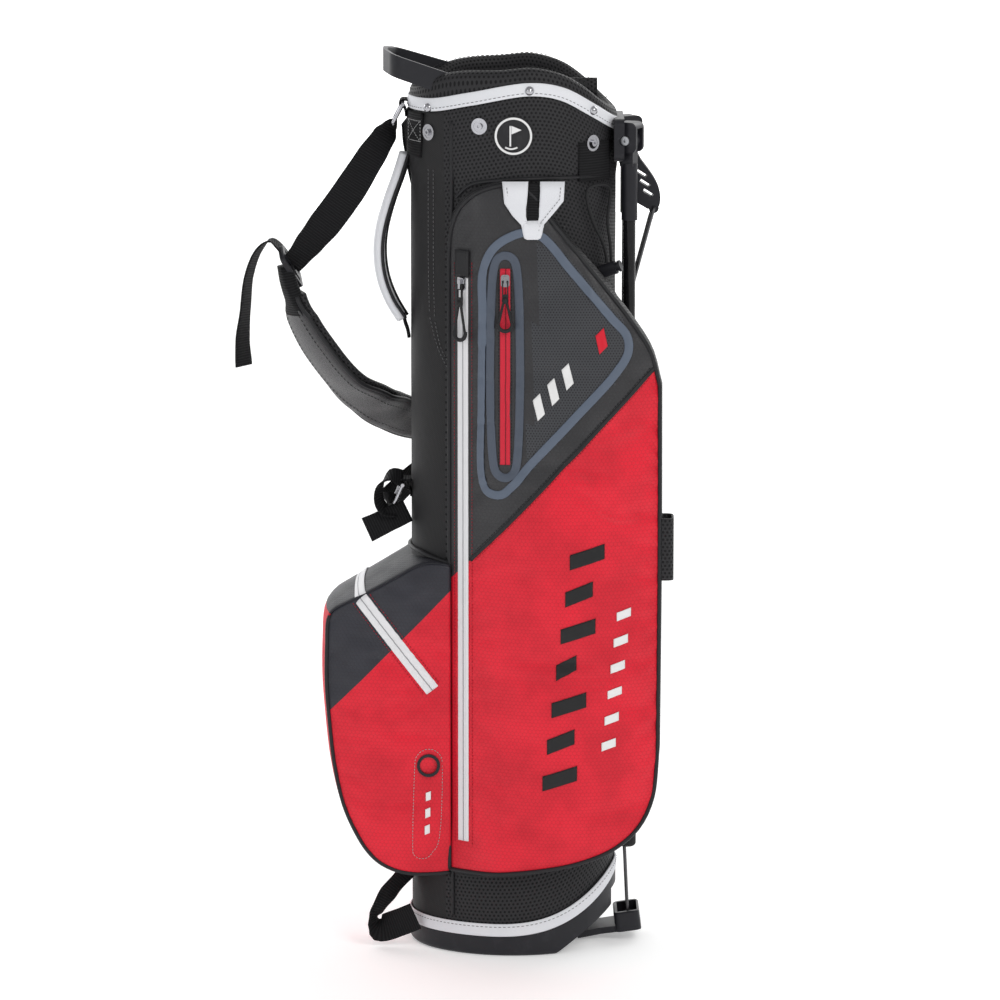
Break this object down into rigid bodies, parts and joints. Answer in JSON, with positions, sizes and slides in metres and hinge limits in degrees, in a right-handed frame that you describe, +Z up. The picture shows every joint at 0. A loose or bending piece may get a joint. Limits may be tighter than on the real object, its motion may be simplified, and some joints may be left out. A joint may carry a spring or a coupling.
{
  "type": "golf stand bag",
  "caption": "Oval golf bag with a padded divided collar, clothing and ball pockets, shoulder strap and two folding legs worked by a hinged base foot.",
  "frame": {"origin": "centre of the tube on the flat bottom face of the base cup", "axes": "+Z up along the tube, +X towards the stand legs, -X towards the strap and ball pocket, -Y towards the clothing pocket"},
  "size_m": [0.4344, 0.2682, 0.9005],
  "materials": {
    "moulded_black": "satin moulded nylon",
    "leg_paint": "gloss black paint on aluminium tube",
    "rubber_black": "matte rubber",
    "steel": "zinc plated",
    "chrome": "polished nickel plate",
    "pull_cord": "braided cord",
    "white_zip": "coated water-resistant zip tape",
    "red_zip": "coated water-resistant zip tape",
    "black_mesh": "black hexagon mesh over foam",
    "lining": "plain nylon lining",
    "stay_fibre": "glass fibre rod",
    "red_fabric": "coated honeycomb weave, crimson",
    "grey_fabric": "coated honeycomb weave, graphite",
    "badge_rubber": "soft moulded patch",
    "white_trim": "grained white synthetic leather",
    "black_webbing": "ribbed nylon webbing",
    "pad_leather": "glossy grey synthetic leather"
  },
  "bodies": {
    "root": {"apparel_pocket": "red_fabric", "apparel_zip_tape": "white_zip", "badge": "badge_rubber", "ball_pocket": "red_fabric", "ball_zip_tape": "white_zip", "base_cup": "moulded_black", "base_loop": "black_webbing", "base_trim": "white_trim", "body_shell": "black_mesh", "bottle_pocket": "black_mesh", "bracket_screws": "steel", "collar_frame": "moulded_black", "collar_pad": "black_mesh", "collar_rivets": "chrome", "collar_trim": "white_trim", "cord_lock_barrel": "moulded_black", "divider_bars": "black_mesh", "divider_sheets": "lining", "far_pocket": "grey_fabric", "far_zip_tape": "white_zip", "foot_hinge_pin": "steel", "grab_handle": "white_trim", "hood_snaps": "chrome", "leg_pins": "steel", "pen_grommet": "moulded_black", "phone_zip_tape": "red_zip", "ring_tabs": "black_webbing", "stand_bracket": "moulded_black", "stay_rods": "stay_fibre", "strap_anchor_top": "black_mesh", "strap_buckle": "moulded_black", "strap_lower": "black_webbing", "strap_pad": "pad_leather", "strap_rear": "black_webbing", "strap_rings": "chrome", "strap_webbing": "black_webbing", "towel_tab": "white_trim", "umbrella_cord": "pull_cord", "umbrella_sleeve": "black_mesh", "umbrella_tab": "black_webbing", "yoke_pin": "steel"},
    "foot": {"base_foot": "moulded_black"},
    "yoke": {"yoke": "moulded_black"},
    "wire": {"actuator_wire": "steel"},
    "leg_near": {"leg_cap_near": "moulded_black", "leg_tube_near": "leg_paint", "leg_foot_near": "rubber_black"},
    "leg_far": {"leg_cap_far": "moulded_black", "leg_tube_far": "leg_paint", "leg_foot_far": "rubber_black"},
    "cord_lock_plunger": {"cord_lock_plunger": "moulded_black"},
    "apparel_zip_slider": {"apparel_zip_slider": "chrome"},
    "apparel_zip_pull": {"apparel_zip_pull": "pull_cord"},
    "phone_zip_slider": {"phone_zip_slider": "chrome"},
    "phone_zip_pull": {"phone_zip_pull": "pull_cord"},
    "far_zip_slider": {"far_zip_slider": "chrome"},
    "far_zip_pull": {"far_zip_pull": "pull_cord"},
    "ball_zip_slider": {"ball_zip_slider": "chrome"},
    "ball_zip_pull": {"ball_zip_pull": "pull_cord"}
  },
  "joints": [
    {"name": "foot_hinge", "type": "hinge", "parent": "root", "child": "foot", "pos_m": [0.054, 0, 0.005], "axis": [0, -1, 0], "range_deg": [0, 24], "stiffness_Nm_per_rad": 0.12, "springref_deg": -22.92},
    {"name": "yoke_pivot", "type": "hinge", "parent": "root", "child": "yoke", "pos_m": [0.119, 0, 0.79], "axis": [0, -1, 0], "range_deg": [0, 41.28]},
    {"name": "wire_pivot", "type": "hinge", "parent": "yoke", "child": "wire", "pos_m": [0.139, 0, 0.742], "axis": [0, -1, 0], "range_deg": [-44.26, 0]},
    {"name": "leg_near_swing", "type": "hinge", "parent": "root", "child": "leg_near", "pos_m": [0.1145, -0.032, 0.812], "axis": [-0.4226, -0.9063, 0], "range_deg": [0, 30]},
    {"name": "leg_far_swing", "type": "hinge", "parent": "root", "child": "leg_far", "pos_m": [0.1145, 0.032, 0.812], "axis": [0.4226, -0.9063, 0], "range_deg": [0, 30]},
    {"name": "apparel_zip_slide", "type": "slide", "parent": "root", "child": "apparel_zip_slider", "axis": [0, 0, -1], "range_m": [0, 0.52]},
    {"name": "apparel_zip_pull_swing", "type": "hinge", "parent": "apparel_zip_slider", "child": "apparel_zip_pull", "pos_m": [-0.05236, -0.08967, 0.67573], "axis": [-0.8, 0.6, 0], "range_deg": [0, 100]},
    {"name": "phone_zip_slide", "type": "slide", "parent": "root", "child": "phone_zip_slider", "axis": [0, -0.0604, -0.9982], "range_m": [0, 0.165]},
    {"name": "phone_zip_pull_swing", "type": "hinge", "parent": "phone_zip_slider", "child": "phone_zip_pull", "pos_m": [-0.008, -0.10407, 0.68082], "axis": [-1, 0, 0], "range_deg": [0, 100]},
    {"name": "far_zip_slide", "type": "slide", "parent": "root", "child": "far_zip_slider", "axis": [0, 0, -1], "range_m": [0, 0.2]},
    {"name": "far_zip_pull_swing", "type": "hinge", "parent": "far_zip_slider", "child": "far_zip_pull", "pos_m": [-0.002, 0.1156, 0.65772], "axis": [1, 0, 0], "range_deg": [0, 100]},
    {"name": "ball_zip_slide", "type": "slide", "parent": "root", "child": "ball_zip_slider", "axis": [-0.6187, 0, 0.7856], "range_m": [0, 0.085]},
    {"name": "ball_zip_pull_swing", "type": "hinge", "parent": "ball_zip_slider", "child": "ball_zip_pull", "pos_m": [-0.08479, 0.0831, 0.27581], "axis": [0.7856, 0, 0.6187], "range_deg": [0, 100]},
    {"name": "cord_lock_press", "type": "slide", "parent": "root", "child": "cord_lock_plunger", "axis": [-0.9093, 0.2521, -0.3311], "range_m": [0, 0.0022], "stiffness_N_per_m": 600, "springref_m": -0.0015}
  ],
  "couplings": [
    {"joint": "yoke_pivot", "follows": "foot_hinge", "ratio": 1.72},
    {"joint": "wire_pivot", "follows": "foot_hinge", "ratio": -1.844},
    {"joint": "leg_near_swing", "follows": "foot_hinge", "ratio": 1.25},
    {"joint": "leg_far_swing", "follows": "foot_hinge", "ratio": 1.25}
  ]
}
